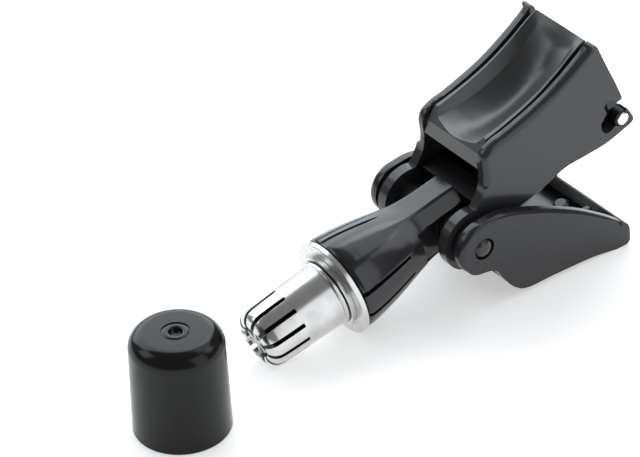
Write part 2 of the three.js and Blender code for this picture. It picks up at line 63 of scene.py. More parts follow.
FLAT = math.radians(0.4)  # faces that turn less than this are one flat stretch
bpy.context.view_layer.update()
Point = tuple[float, float]
Colour = Sequence[float] | bpy.types.NodeSocket


class Body(Enum):
    """The rigid bodies that pieces ride on."""

    BODY = "body"
    LEVER = "lever"
    ROTOR = "cutter_rotor"
    CAP = "cap"


class Slot(Enum):
    """The material slots of the record."""

    GLOSS = "gloss_black"
    THUMB = "thumb_black"
    INNER = "inner_black"
    CUTTER = "cutter_steel"
    PIN = "pin_steel"
    SPRING = "spring_steel"
    BRASS = "brass"
    NYLON = "nylon"


# ---------------------------------------------------------------- places
@dataclass(frozen=True)
class Bench:
    """Where the trimmer's own frame stands in the frame of the whole set.

    Attributes:
        pivot: The lever's pivot, in metres.
        pitch: The nose-down angle, in radians.
    """

    pivot: Vector
    pitch: float

    @classmethod
    def from_joints(cls, joints: Sequence[dict]) -> Bench:
        """Reads the pivot from the lever's joint and the pitch from the cutter's axis."""
        named = {joint["name"]: joint for joint in joints}
        forward = named["cutter_spin"]["axis"]
        return cls(Vector(named["lever_squeeze"]["pos_m"]), math.atan2(-forward[2], forward[0]))

    @property
    def matrix(self) -> Matrix:
        """Trimmer millimetres to metres in the frame."""
        turn = Matrix.Rotation(self.pitch, 4, "Y")
        return Matrix.Translation(self.pivot) @ turn @ Matrix.Scale(MM, 4)


BENCH = Bench.from_joints(frame["joints"])
AXIS_Z = 0.4  # height of the cutter's axis over the pivot


# ---------------------------------------------------------------- outlines
@dataclass
class Outline:
    """A closed outline in the x-z plane, drawn with arcs, straight runs and smooth curves."""

    points: list[Point] = field(default_factory=list)

    def to(self, *corners: Point) -> Outline:
        """Adds straight runs to the corners."""
        self.points.extend(corners)
        return self

    def arc(self, centre: Point, radius: float, start: float, end: float) -> Outline:
        """Adds an arc.

        Args:
            centre: Its centre.
            radius: Its radius.
            start: First angle in degrees, from +x towards +z.
            end: Last angle in degrees.
        """
        count = max(2, round(abs(end - start) / ARC_STEP))
        for i in range(count + 1):
            angle = math.radians(start + (end - start) * i / count)
            self.points.append((centre[0] + radius * math.cos(angle), centre[1] + radius * math.sin(angle)))
        return self

    def curve(self, *through: Point, parts: int = 8) -> Outline:
        """Adds a smooth curve from the last point through the points given."""
        knots = [self.points[-1], *through]
        for i in range(len(knots) - 1):
            before = knots[max(i - 1, 0)]
            after = knots[min(i + 2, len(knots) - 1)]
            for j in range(1, parts + 1):
                self.points.append(catmull(before, knots[i], knots[i + 1], after, j / parts))
        return self

    def round_to(self, corner: Point, end: Point, parts: int = 6) -> Outline:
        """Rounds a corner with a quadratic curve from the last point to the end."""
        start = self.points[-1]
        for j in range(1, parts + 1):
            t = j / parts
            a, b, c = (1 - t) ** 2, 2 * t * (1 - t), t * t
            self.points.append((a * start[0] + b * corner[0] + c * end[0],
                                a * start[1] + b * corner[1] + c * end[1]))
        return self


def catmull(before: Point, start: Point, end: Point, after: Point, t: float) -> Point:
    """Point at share t of a Catmull-Rom cubic between start and end."""
    def blend(p: float, a: float, b: float, q: float) -> float:
        square, cube = 2 * p - 5 * a + 4 * b - q, 3 * a - p - 3 * b + q
        return 0.5 * (2 * a + (b - p) * t + square * t * t + cube * t ** 3)
    return blend(before[0], start[0], end[0], after[0]), blend(before[1], start[1], end[1], after[1])


def smoothstep(low: float, high: float, value: float) -> float:
    """0 below low, 1 above high and smooth between."""
    t = min(max((value - low) / (high - low), 0.0), 1.0)
    return t * t * (3 - 2 * t)


def table(value: float, *knots: Point) -> float:
    """A smooth curve through a few knots of (place, height), held flat past its ends."""
    if value <= knots[0][0]:
        return knots[0][1]
    if value >= knots[-1][0]:
        return knots[-1][1]
    i = max(n for n in range(len(knots) - 1) if knots[n][0] <= value)
    a, b = knots[i], knots[i + 1]
    before = knots[i - 1] if i else a
    after = knots[i + 2] if i + 2 < len(knots) else b
    t = (value - a[0]) / (b[0] - a[0])
    return catmull(before, a, b, after, t)[1]


# ---------------------------------------------------------------- solid forms
class Form:
    """A closed bmesh in trimmer millimetres, with the few operations that the pieces need."""

    def __init__(self) -> None:
        """Starts empty."""
        self.bm = bmesh.new()

    @classmethod
    def plate(cls, outline: Outline, low: float, high: float) -> Form:
        """A plate of an x-z outline, from one y to another."""
        form = cls()
        verts = [form.bm.verts.new((x, low, z)) for x, z in outline.points]
        form.bm.faces.new(verts)
        made = bmesh.ops.extrude_face_region(form.bm, geom=form.bm.faces[:])
        moved = [item for item in made["geom"] if isinstance(item, bmesh.types.BMVert)]
        bmesh.ops.translate(form.bm, vec=(0, high - low, 0), verts=moved)
        return form.tidy()

    @classmethod
    def block(cls, low: Sequence[float], high: Sequence[float]) -> Form:
        """A box between two corners."""
        form = cls()
        bmesh.ops.create_cube(form.bm, size=1)
        size = [b - a for a, b in zip(low, high)]
        bmesh.ops.scale(form.bm, vec=size, verts=form.bm.verts[:])
        bmesh.ops.translate(form.bm, vec=[(a + b) / 2 for a, b in zip(low, high)], verts=form.bm.verts[:])
        return form

    @classmethod
    def turned(cls, profile: Iterable[Point], steps: int = 96, closed: bool = False) -> Form:
        """A profile of (radius, place) turned about the z axis.

        Args:
            profile: Its points, from one end of the axis to the other, or right round a ring's section.
            steps: Facets in a full turn.
            closed: Whether the profile is a ring's section, which closes on itself.
        """
        form = cls()
        verts = [form.bm.verts.new((r, 0, z)) for r, z in profile]
        edges = [form.bm.edges.new(pair) for pair in zip(verts, verts[1:])]
        if closed:
            edges.append(form.bm.edges.new((verts[-1], verts[0])))
        bmesh.ops.spin(form.bm, geom=verts + edges, cent=(0, 0, 0), axis=(0, 0, 1), dvec=(0, 0, 0),
                       angle=2 * math.pi, steps=steps, use_merge=True, use_normal_flip=False)
        return form.tidy()

    def tidy(self) -> Form:
        """Merges doubles, drops what they leave flat and points every face outwards."""
        self.weld(MERGE / 10)
        bmesh.ops.recalc_face_normals(self.bm, faces=self.bm.faces[:])
        return self

    def weld(self, thin: float) -> Form:
        """Merges doubles and drops faces and edges thinner than a distance."""
        bmesh.ops.remove_doubles(self.bm, verts=self.bm.verts[:], dist=MERGE)
        bmesh.ops.dissolve_degenerate(self.bm, edges=self.bm.edges[:], dist=thin)
        return self

    def along_x(self, z: float = AXIS_Z) -> Form:
        """Turns the z axis onto the cutter's axis."""
        return self.move(Matrix.Translation((0, 0, z)) @ Matrix.Rotation(math.pi / 2, 4, "Y"))

    def along_y(self, x: float = 0.0, z: float = 0.0) -> Form:
        """Turns the z axis onto +y, through a point of the x-z plane."""
        return self.move(Matrix.Translation((x, 0, z)) @ Matrix.Rotation(-math.pi / 2, 4, "X"))

    def move(self, matrix: Matrix) -> Form:
        """Applies a matrix to every vertex."""
        bmesh.ops.transform(self.bm, matrix=matrix, verts=self.bm.verts[:])
        return self

    def mirrored(self) -> Form:
        """The same form on the other side of the plane of symmetry."""
        twin = self.copy()
        bmesh.ops.scale(twin.bm, vec=(1, -1, 1), verts=twin.bm.verts[:])
        bmesh.ops.reverse_faces(twin.bm, faces=twin.bm.faces[:])
        return twin

    def copy(self) -> Form:
        """A copy that can be changed on its own."""
        twin = Form()
        twin.bm = self.bm.copy()
        return twin

    def shape(self, rule: Callable[[Vector], Vector]) -> Form:
        """Moves every vertex to where a rule says."""
        for vert in self.bm.verts:
            vert.co = rule(vert.co.copy())
        return self

    def merge(self, *others: Form) -> Form:
        """Adds other closed forms without joining them."""
        for other in others:
            mesh = bpy.data.meshes.new("merge")
            other.bm.to_mesh(mesh)
            self.bm.from_mesh(mesh)
            bpy.data.meshes.remove(mesh)
        return self

    def combine(self, operation: str, *others: Form) -> Form:
        """Joins, cuts or keeps what is common with other forms.

        Args:
            operation: UNION, DIFFERENCE or INTERSECT.
            others: The forms that it is done with, one after another.

        Returns:
            This form, with the result.
        """
        objects = [form.as_object(f"tool_{i}") for i, form in enumerate((self, *others))]
        base = objects[0]
        for tool in objects[1:]:
            modifier = base.modifiers.new("cut", "BOOLEAN")
            modifier.operation = operation
            modifier.solver = "EXACT"
            modifier.object = tool
        bpy.context.view_layer.update()
        result = base.evaluated_get(bpy.context.evaluated_depsgraph_get())
        joined = bmesh.new()
        joined.from_mesh(result.to_mesh())
        result.to_mesh_clear()
        self.bm.free()
        self.bm = joined
        for item in objects:
            mesh = item.data
            bpy.data.objects.remove(item)
            bpy.data.meshes.remove(mesh)
        return self.weld(MERGE)

    def cut(self, *tools: Form) -> Form:
        """Takes the tools away."""
        return self.combine("DIFFERENCE", *tools)

    def join(self, *others: Form) -> Form:
        """Joins the others on."""
        return self.combine("UNION", *others)

    def flatten(self) -> Form:
        """Makes one face of each flat stretch."""
        bmesh.ops.dissolve_limit(self.bm, angle_limit=FLAT, use_dissolve_boundaries=False,
                                 verts=self.bm.verts[:], edges=self.bm.edges[:])
        return self

    def soften(self, width: float, over: float = 28.0, segments: int = 3,
               where: Callable[[Vector], bool] | None = None, clamp: bool = True) -> Form:
        """Rounds the edges that turn more than an angle.

        Args:
            width: Width of the rounding, in millimetres.
            over: The least angle of an edge that is rounded, in degrees.
            segments: Facets across it.
            where: Only edges whose middle this accepts.
            clamp: Whether the rounding stops short of its neighbours.
        """
        edges = [edge for edge in self.bm.edges if len(edge.link_faces) == 2
                 and edge.calc_face_angle(0.0) > math.radians(over)
                 and (where is None or where((edge.verts[0].co + edge.verts[1].co) / 2))]
        bmesh.ops.bevel(self.bm, geom=edges, offset=width, offset_type="OFFSET", segments=segments,
                        profile=0.5, affect="EDGES", clamp_overlap=clamp, loop_slide=True, material=-1)
        return self

    def as_object(self, name: str) -> bpy.types.Object:
        """A linked object that holds a copy of the form as it is."""
        mesh = bpy.data.meshes.new(name)
        self.bm.to_mesh(mesh)
        made = bpy.data.objects.new(name, mesh)
        bpy.context.scene.collection.objects.link(made)
        return made

    def place(self, name: str, body: Body, finish: Finish, *, node: str = "",
              bench: bool = True, sharp: float = 50.0) -> None:
        """Sets the form in the frame as a finished piece.

        Args:
            name: The piece's name.
            body: The body that it rides on.
            finish: Its finish.
            node: The CAD node that it is shown in place of.
            bench: Whether it is drawn in the trimmer's frame, not in millimetres of the whole frame.
            sharp: Edges that turn more than this many degrees stay sharp.
        """
        self.move(BENCH.matrix if bench else Matrix.Scale(MM, 4))
        for edge in self.bm.edges:
            edge.smooth = len(edge.link_faces) != 2 or edge.calc_face_angle(0.0) < math.radians(sharp)
        for face in self.bm.faces:
            face.smooth = True
        made = self.as_object(name)
        self.bm.free()
        made.data.materials.append(finish.material)
        modifier = made.modifiers.new("shading", "WEIGHTED_NORMAL")
        modifier.keep_sharp = True
        modifier.weight = 80
        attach(made, body.value)
        if node:
            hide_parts(node)
        log.info("%s: %d faces", name, len(made.data.polygons))


def rod(radius: float, low: float, high: float, steps: int = 48, tip: float = 0.0) -> Form:
    """A cylinder along z, with its end edges taken off by tip millimetres."""
    if not tip:
        return Form.turned([(0, low), (radius, low), (radius, high), (0, high)], steps)
    return Form.turned([(0, low), (radius - tip, low), (radius, low + tip), (radius, high - tip),
                        (radius - tip, high), (0, high)], steps)


# ---------------------------------------------------------------- shader maths
class Value:
    """A socket or a number in a material, with operators that add Math nodes."""

    def __init__(self, shade: Shade, socket: bpy.types.NodeSocket | float) -> None:
        """Wraps a socket or a number for one material."""
        self.shade = shade
        self.socket = socket

    def _math(self, operation: str, first: Value | float, second: Value | float) -> Value:
        """Adds one Math node."""
        node = self.shade.node("ShaderNodeMath", {"operation": operation}, {0: first, 1: second})
        return Value(self.shade, node.outputs[0])

    def __add__(self, other: Value | float) -> Value:
        """Sum."""
        return self._math("ADD", self, other)

    def __mul__(self, other: Value | float) -> Value:
        """Product."""
        return self._math("MULTIPLY", self, other)

    def __pow__(self, other: Value | float) -> Value:
        """Power."""
        return self._math("POWER", self, other)

    def clamp(self) -> Value:
        """Held between 0 and 1."""
        node = self.shade.node("ShaderNodeClamp", {}, {"Value": self})
        return Value(self.shade, node.outputs[0])


class Shade:
    """Builds one material's nodes around a Principled shader."""

    def __init__(self, name: str) -> None:
        """Starts a material with a bare Principled shader."""
        self.material = bpy.data.materials.new(name)
        self.material.use_nodes = True
        self.tree = self.material.node_tree
        self.shader = next(n for n in self.tree.nodes if n.type == "BSDF_PRINCIPLED")

    def node(self, kind: str, settings: dict, inputs: dict) -> bpy.types.Node:
        """Makes any node.

        Args:
            kind: The node's type name.
            settings: Attributes that are set first.
            inputs: Values or links of its sockets, by name or number.

        Returns:
            The node.
        """
        made = self.tree.nodes.new(kind)
        for key, value in settings.items():
            setattr(made, key, value)
        for key, value in inputs.items():
            self.feed(made.inputs[key], value)
        return made

    def feed(self, socket: bpy.types.NodeSocket, value: object) -> None:
        """Sets a socket to a number or links it."""
        source = value.socket if isinstance(value, Value) else value
        if isinstance(source, bpy.types.NodeSocket):
            self.tree.links.new(source, socket)
        else:
            socket.default_value = source

    def set(self, **inputs: object) -> None:
        """Sets the shader's own sockets, with _ for a space."""
        for key, value in inputs.items():
            self.feed(self.shader.inputs[key.replace("_", " ")], value)

    def place(self, scale: Sequence[float] = (1, 1, 1), turn: Sequence[float] = (0, 0, 0),
              centre: Sequence[float] = (0, 0, 0)) -> bpy.types.NodeSocket:
        """Object coordinates in metres, moved to a centre, turned, then stretched."""
        where = self.node("ShaderNodeTexCoord", {}, {}).outputs["Object"]
        moved = self.node("ShaderNodeVectorMath", {"operation": "SUBTRACT"}, {0: where, 1: centre})
        inputs = {"Vector": moved.outputs[0], "Rotation": turn, "Scale": scale}
        return self.node("ShaderNodeMapping", {}, inputs).outputs[0]

    def noise(self, vector: bpy.types.NodeSocket, scale: float, detail: float = 3.0,
              roughness: float = 0.5) -> Value:
        """A noise pattern from 0 to 1, about 0.5."""
        node = self.node("ShaderNodeTexNoise", {},
                         {"Vector": vector, "Scale": scale, "Detail": detail, "Roughness": roughness})
        return Value(self, node.outputs["Fac"])

    def band(self, value: Value, low: float, high: float) -> Value:
        """0 below low and 1 above high."""
        node = self.node("ShaderNodeMapRange", {"interpolation_type": "SMOOTHSTEP"},
                         {"Value": value, "From Min": low, "From Max": high})
        return Value(self, node.outputs[0])

    def mix(self, share: Value, first: Colour, second: Colour) -> bpy.types.NodeSocket:
        """A colour between two others, which are triples or sockets."""
        node = self.node("ShaderNodeMix", {"data_type": "RGBA"}, {"Factor": share})
        ends = (socket for socket in node.inputs if socket.type == "RGBA")
        for end, colour in zip(ends, (first, second)):
            linked = isinstance(colour, bpy.types.NodeSocket)
            self.feed(end, colour if linked else (*colour, 1.0))
        return next(socket for socket in node.outputs if socket.type == "RGBA")

    def bump(self, height: Value, strength: float, distance: float) -> bpy.types.NodeSocket:
        """A bumped normal, with the height's reach in metres."""
        node = self.node("ShaderNodeBump", {},
                         {"Height": height, "Strength": strength, "Distance": distance})
        return node.outputs["Normal"]


class Finish:
    """A finish: a material and the record's slot that it belongs to."""

    def __init__(self, name: str, slot: Slot) -> None:
        """Starts the finish's material."""
        self.slot = slot
        self.shade = Shade(name)
        self.material = self.shade.material


class MouldedPlastic(Finish):
    """Moulded black plastic: a faintly cloudy colour and gloss, fine grain and hairline scuffs."""

    def __init__(self, name: str, slot: Slot, colour: Sequence[float], roughness: float,
                 shine: float) -> None:
        """Builds the finish.

        Args:
            name: The material's name.
            slot: The record's slot.
            colour: Its base colour.
            roughness: Its middle roughness.
            shine: Its specular level.
        """
        super().__init__(name, slot)
        s = self.shade
        flow = s.noise(s.place(), 140.0, 4.0)
        grain = s.noise(s.place(), 3200.0, 2.0)
        scuffs = s.band(s.noise(s.place((60, 900, 900), (0.3, 0.5, 0.2)), 9.0, 2.0, 0.4), 0.66, 0.74)
        lighter = [min(1.0, c * 1.25 + 0.001) for c in colour]
        s.set(Base_Color=s.mix(flow, colour, lighter), Specular_IOR_Level=shine,
              Roughness=(flow * 0.06 + grain * 0.05 + scuffs * 0.05 + (roughness - 0.055)).clamp(),
              Normal=s.bump(grain, 0.05, 0.00002))


class Turned(Finish):
    """Turned and polished steel, with fine rings about the cutter's axis and painted shade: near black
    inside its bore, short of the mouth.
    """

    def __init__(self, name: str, slot: Slot, colour: Sequence[float], roughness: float, bore: float = 0.0,
                 bright_from: float = 99.0) -> None:
        """Builds the finish.

        Args:
            name: The material's name.
            slot: The record's slot.
            colour: Its base colour.
            roughness: Its middle roughness.
            bore: Radius within which the steel is painted near black as shade in the cutter's hollow, in
                millimetres.
            bright_from: Place along the axis from which no painted shade is laid, at any radius.
        """
        super().__init__(name, slot)
        s = self.shade
        centre = BENCH.matrix @ Vector((0, 0, AXIS_Z))
        local = s.place(turn=(0, -BENCH.pitch, 0), centre=centre)
        parts = s.node("ShaderNodeSeparateXYZ", {}, {"Vector": local})
        across = s.node("ShaderNodeCombineXYZ", {}, {"X": parts.outputs[0]})
        rings = s.noise(across.outputs[0], 9000.0, 2.0, 0.6)
        smear = s.noise(s.place(), 350.0, 3.0)
        y, z = (Value(s, parts.outputs[i]) for i in (1, 2))
        radius = (y * y + z * z) ** 0.5
        # painted shade: short of the mouth, steel inside the bore radius is painted near black in place of
        # the shade in the cutter's hollow
        tip = s.band(Value(s, parts.outputs[0]), bright_from * MM, (bright_from + 0.6) * MM)
        outside = (s.band(radius, (bore - 0.08) * MM, bore * MM) + tip).clamp()
        painted_shade = s.mix(smear, [c * 0.05 for c in colour], [c * 0.09 for c in colour])
        worn = s.mix(s.band(smear, 0.4, 0.7), colour, [c * 0.88 for c in colour])
        s.set(Base_Color=s.mix(outside, painted_shade, worn), Metallic=1.0,
              Roughness=(rings * 0.12 + smear * 0.08 + (roughness - 0.1)).clamp(),
              Normal=s.bump(rings, 0.12, 0.00002))


class Drawn(Finish):
    """Plain bright metal: drawn pins, springs and cut gears."""

    def __init__(self, name: str, slot: Slot, colour: Sequence[float], roughness: float) -> None:
        """Builds the finish from its slot, colour and roughness."""
        super().__init__(name, slot)
        s = self.shade
        streak = s.noise(s.place((300, 3000, 3000)), 1.0, 3.0, 0.6)
        tarnish = s.noise(s.place(), 420.0, 3.0)
        darker = [c * 0.72 for c in colour]
        s.set(Base_Color=s.mix(s.band(tarnish, 0.45, 0.75), colour, darker), Metallic=1.0,
              Roughness=(streak * 0.12 + tarnish * 0.08 + (roughness - 0.1)).clamp(),
              Normal=s.bump(streak, 0.1, 0.00002))


class Nylon(Finish):
    """Natural nylon of the moulded gears."""

    def __init__(self, name: str, slot: Slot) -> None:
        """Builds the finish."""
        super().__init__(name, slot)
        s = self.shade
        cloud = s.noise(s.place(), 260.0, 3.0)
        s.set(Base_Color=s.mix(cloud, (0.70, 0.67, 0.58), (0.80, 0.78, 0.70)), Roughness=cloud * 0.15 + 0.4,
              Subsurface_Weight=0.15, Normal=s.bump(cloud, 0.1, 0.00005))
        s.shader.inputs["Subsurface Radius"].default_value = (0.002, 0.0015, 0.001)


@dataclass(frozen=True)
class Finishes:
    """Every finish of the set, made once."""

    gloss: Finish
    lever: Finish
    barrel: Finish
    cap: Finish
    thumb: Finish
    inner: Finish
    cutter: Finish
    blade: Finish
    pin: Finish
    spring: Finish
    brass: Finish
    nylon: Finish

    @classmethod
    def make(cls) -> Finishes:
        """Makes each finish."""
        return cls(
            gloss=MouldedPlastic("gloss_black_plastic", Slot.GLOSS, (0.024, 0.0245, 0.0275), 0.2, 0.5),
            lever=MouldedPlastic("lever_black_plastic", Slot.GLOSS, (0.016, 0.0165, 0.018), 0.2, 0.45),
            barrel=MouldedPlastic("barrel_black_plastic", Slot.GLOSS, (0.012, 0.0125, 0.014), 0.16, 0.55),
            cap=MouldedPlastic("cap_black_plastic", Slot.GLOSS, (0.006, 0.0062, 0.006), 0.16, 0.25),
            thumb=MouldedPlastic("thumb_rest_plastic", Slot.THUMB, (0.013, 0.0142, 0.0155), 0.36, 0.95),
            # near-black inner plastic with little shine; on the rear wall this darkness is also painted
            # shade for the keyhole
            inner=MouldedPlastic("inner_black_and_painted_shade_plastic", Slot.INNER, (0.006, 0.006, 0.007), 0.4, 0.2),
            cutter=Turned("turned_stainless", Slot.CUTTER, (0.66, 0.66, 0.65), 0.24, 5.25, 38.6),
            # painted shade: the blade's steel is a darker copy of the cutter's steel, standing in for the
            # shade inside the cutter
            blade=Turned("blade_stainless_painted_shade", Slot.CUTTER, (0.42, 0.42, 0.42), 0.3, 4.9, 38.2),
            pin=Drawn("bright_pin_steel", Slot.PIN, (0.84, 0.84, 0.84), 0.22),
            spring=Drawn("spring_wire", Slot.SPRING, (0.5, 0.5, 0.52), 0.34),
            brass=Drawn("cut_brass", Slot.BRASS, (0.72, 0.55, 0.27), 0.3),
            nylon=Nylon("natural_nylon", Slot.NYLON),
        )


# ---------------------------------------------------------------- body
@dataclass
class BodyShells:
    """The two side shells with their ears, screw posts and the pin across the rear keyhole."""

    half: float = 9.5
    wall: float = 2.0
    ear: float = 5.7
    boss: float = 2.95
    boss_end: float = 4.5
    bore: float = 2.05
    post: float = 1.9
    post_bore: float = 0.95
    pin_place: Point = (-35.4, 2.4)
    pin_radius: float = 1.3
    screws: tuple[Point, ...] = ((-20.5, 8.3), (-29.5, 11.2))
    edge: float = 0.3
    rim_edge: float = 1.25

    def outline(self) -> Outline:
        """The cheek's outline, from the ear over the bottom edge, the keyhole and the rim."""
        line = Outline().arc((0, 0), self.ear, 115, -105)
        line.curve((-5.6, -3.6), (-9.6, -0.6), (-13.4, -0.1), (-16.9, 0.2), (-21.5, 1.0), (-26.0, 0.5),
                   (-31.0, 0.0), (-36.4, 0.5))
        line.round_to((-37.6, 0.6), (-37.4, 1.8))
        line.to((-36.75, 3.9), (-36.45, 4.2), (-36.2, 3.9), (-36.15, 3.4), (-35.0, 1.7), (-34.2, 1.75),
                (-33.4, 2.2), (-32.4, 1.8))
        line.round_to((-30.9, 1.5), (-30.55, 3.4)).to((-30.7, 4.6), (-32.35, 6.0), (-32.0, 7.5))
        line.round_to((-33.2, 8.8), (-34.2, 7.7)).to((-34.65, 6.75), (-35.8, 6.75))
        line.round_to((-36.2, 6.9), (-36.0, 7.7)).curve((-35.4, 11.2), (-34.5, 15.4), (-33.6, 20.0))
        line.round_to((-33.4, 21.5), (-32.5, 21.3))
        line.curve((-30.6, 20.2), (-26.7, 18.6), (-21.7, 17.0), (-16.9, 16.1), (-12.3, 15.6), (-9.6, 15.5),
                   (-7.3, 14.8), (-6.1, 13.2), (-5.7, 10.2), (-4.7, 7.5), (-2.41, 5.17))
        line.points.pop()  # the curve ends where the ear's arc starts
        return line

    def shell(self, left: bool) -> Form:
        """One shell, drawn on the left; the left one has posts and the right one screw sinks."""
        inner = self.half - self.wall
        form = Form.plate(self.outline(), inner, self.half)
        hole = rod(self.pin_radius + 0.06, inner - 1, self.half + 1).along_y(*self.pin_place)
        form.cut(hole)
        form.join(rod(self.boss, self.boss_end, inner + 0.4, 64).along_y())
        form.cut(rod(self.bore, self.boss_end + 0.6, self.half + 1, 64).along_y())
        for place in self.screws:
            if left:
                seat, root = 0.15 - inner, inner + 0.4
                post = Form.turned([(self.post_bore, seat), (self.post, seat), (self.post, root),
                                    (0, root), (0, 1.5), (self.post_bore, 1.5)], 40, closed=True)
                form.join(post.along_y(*place))
            else:
                above, seat = self.half + 1, self.half - 1.1
                sink = Form.turned([(0, above), (2.15, above), (2.15, seat), (1.2, seat),
                                    (1.2, inner - 1), (0, inner - 1)], 40)
                form.cut(sink.along_y(*place))
        form.flatten()
        form.soften(self.rim_edge, 40, 6, self.on_rim, clamp=False)
        form.soften(self.edge, 32)
        return form if left else form.mirrored()

    def on_rim(self, co: Vector) -> bool:
        """Whether a point lies on the cheek's outer edge along the rim and the front."""
        return co.y > self.half - 0.01 and -32.0 < co.x < -4.8 and co.z > 8.0

    def screw(self, place: Point) -> Form:
        """A cross-head body screw, sunk in the right shell."""
        head = Form.turned([(0, -9.2), (0.9, -9.22), (1.6, -9.3), (2.0, -9.0), (2.0, -8.5), (0.85, -8.4),
                            (0.85, 0.5), (0, 0.5)], 40).along_y(*place)
        x, z = place
        arms = (1.15, 0.19), (0.19, 1.15)
        cross = [Form.block((x - a, -10, z - b), (x + a, -8.85, z + b)) for a, b in arms]
        return head.cut(*cross).soften(0.05, 40, 2)

    def build(self, finishes: Finishes) -> None:
        """Builds and dresses the shells, the rear pin and the screws."""
        self.shell(True).place("left_shell", Body.BODY, finishes.gloss, node="side_shell_left")
        self.shell(False).place("right_shell", Body.BODY, finishes.gloss, node="side_shell_right")
        pin = rod(self.pin_radius, -self.half, self.half, 64, 0.18).along_y(*self.pin_place)
        pin.place("hanging_pin", Body.BODY, finishes.pin, node="rear_pin")
        for i, place in enumerate(self.screws, 1):
            screw = self.screw(place)
            screw.place(f"cross_screw_{i}", Body.BODY, finishes.pin, node=f"body_screw_{i}")


@dataclass
class ThumbRest:
    """The scooped rest between the shells, with its rim, its creased front lip and its rear wall."""

    half: float = 7.35
    top_gap: Point = (0.3, 0.85)
    rim_inner: float = 6.25
    scoop_halves: Point = (5.3, 4.6)
    front: float = -6.4
    rear: float = -33.6
    pin_place: Point = (-35.4, 2.4)
    boss_half: float = 9.3
    boss: float = 1.75
    boss_bore: float = 1.36
    bands_from: float = 0.8
    deepest_band: float = 2.0
    lip: float = 0.12

    def rim(self, x: float) -> float:
        """Height of the rim."""
        return table(x, (-33.6, 20.9), (-33.1, 20.85), (-30.6, 20.1), (-26.7, 18.5), (-21.7, 16.9),
                     (-16.9, 16.0), (-12.3, 15.55), (-8.9, 15.4), (-6.4, 15.4))

    def centre(self, x: float) -> float:
        """Height of the scoop's middle line."""
        return table(x, (-33.6, 20.9), (-33.1, 20.4), (-31.0, 18.2), (-27.0, 15.0), (-22.0, 12.8),
                     (-16.9, 12.0), (-12.0, 12.3), (-8.9, 13.05), (-7.0, 13.6), (-6.4, 13.8))

    def side_line(self) -> Outline:
        """Section of the rest: rim, slanted front face, front band and underside."""
        rim = ((x, self.rim(x)) for x in range(-33, -9))
        line = Outline().to((-33.3, 20.6), *rim, (-9.2, 15.42), (-7.0, 13.45), (-5.9, 11.1), (-7.8, 10.6))
        return line.curve((-12.0, 10.4), (-16.9, 10.2), (-21.7, 10.8), (-26.7, 13.0), (-31.4, 16.4), parts=4)

    def back_line(self) -> Outline:
        """Section of the rear wall and of the dark block behind the keyhole, which stands in for the shade
        seen through it.
        """
        line = Outline().to((-32.0, 17.5), (-33.7, 17.9))
        line.curve((-34.1, 15.4), (-34.9, 11.4), (-35.8, 7.0), parts=4)
        line.to((-34.1, 6.9), (-34.1, 4.25), (-36.4, 4.1), (-37.05, 2.0), (-36.8, 1.15), (-33.0, 0.75),
                (-29.9, 0.75), (-29.9, 8.9), (-33.6, 8.9))
        return line.curve((-33.2, 11.4), (-32.6, 14.4), (-31.4, 16.4), parts=4)

    def scoop(self) -> Form:
        """The hollow's cutter: its floor, a sloped band at each side, and open above."""
        form = Form()
        bmesh.ops.create_grid(form.bm, x_segments=54, y_segments=50, size=0.5)
        length = self.front - self.rear
        inner = self.bands_from

        def lay(co: Vector) -> Vector:
            x = self.rear + (co.x + 0.5) * length
            half, share = self.scoop_half(x), abs(co.y) * 2
            if share <= inner:
                side = half * share / inner
            else:
                side = half + (self.rim_inner - half) * (share - inner) / (1 - inner)
            return Vector((x, math.copysign(side, co.y), self.height(x, side)))

        form.shape(lay)
        made = bmesh.ops.extrude_face_region(form.bm, geom=form.bm.faces[:])
        for item in made["geom"]:
            if isinstance(item, bmesh.types.BMVert):
                item.co.z = self.rim(item.co.x) + 6
        bmesh.ops.recalc_face_normals(form.bm, faces=form.bm.faces[:])
        return form

    def scoop_half(self, x: float) -> float:
        """Half the hollow's width between its side bands, at a place along it."""
        front, rear = self.scoop_halves
        return rear + (front - rear) * (x - self.rear) / (self.front - self.rear)

    def height(self, x: float, side: float) -> float:
        """Height of the hollow at a place along it and a distance from its middle."""
        depth = self.rim(x) - self.centre(x)
        half, step = self.scoop_half(x), min(self.deepest_band, depth * 0.5)
        if side > half:
            slope = (self.rim_inner - side) / (self.rim_inner - half)
            lip = min(self.lip, depth * 0.2)
            return self.rim(x) - lip - (step - lip) * slope
        bow = (math.hypot(1, 2 * side / half) - 1) / (math.hypot(1, 2) - 1)
        return self.centre(x) + (depth - step) * bow

    def build(self, finishes: Finishes) -> None:
        """Builds and dresses the rest and its rear wall."""
        rest = Form.plate(self.side_line(), -self.half, self.half)

        def draw_in(co: Vector) -> Vector:
            top = smoothstep(self.rim(co.x) - 1.5, self.rim(co.x) - 0.2, co.z)
            back = (self.front - co.x) / (self.front - self.rear)
            gap = self.top_gap[0] + (self.top_gap[1] - self.top_gap[0]) * back
            co.y -= math.copysign(gap * top, co.y)
            return co

        rest.shape(draw_in)
        rest.cut(self.scoop())
        rest.soften(0.12, 22, 2)
        rest.place("thumb_scoop", Body.BODY, finishes.thumb, node="thumb_rest", sharp=14)
        # painted shade: the rear wall's block and its near-black finish fill the keyhole with darkness where
        # there would be only shade
        wall = Form.plate(self.back_line(), -self.half, self.half)
        wall.join(rod(self.boss, -self.boss_half, self.boss_half).along_y(*self.pin_place))
        wall.cut(rod(self.boss_bore, -self.boss_half - 1, self.boss_half + 1).along_y(*self.pin_place))
        wall.flatten().soften(0.2, 25)
        wall.place("rear_wall", Body.BODY, finishes.inner)


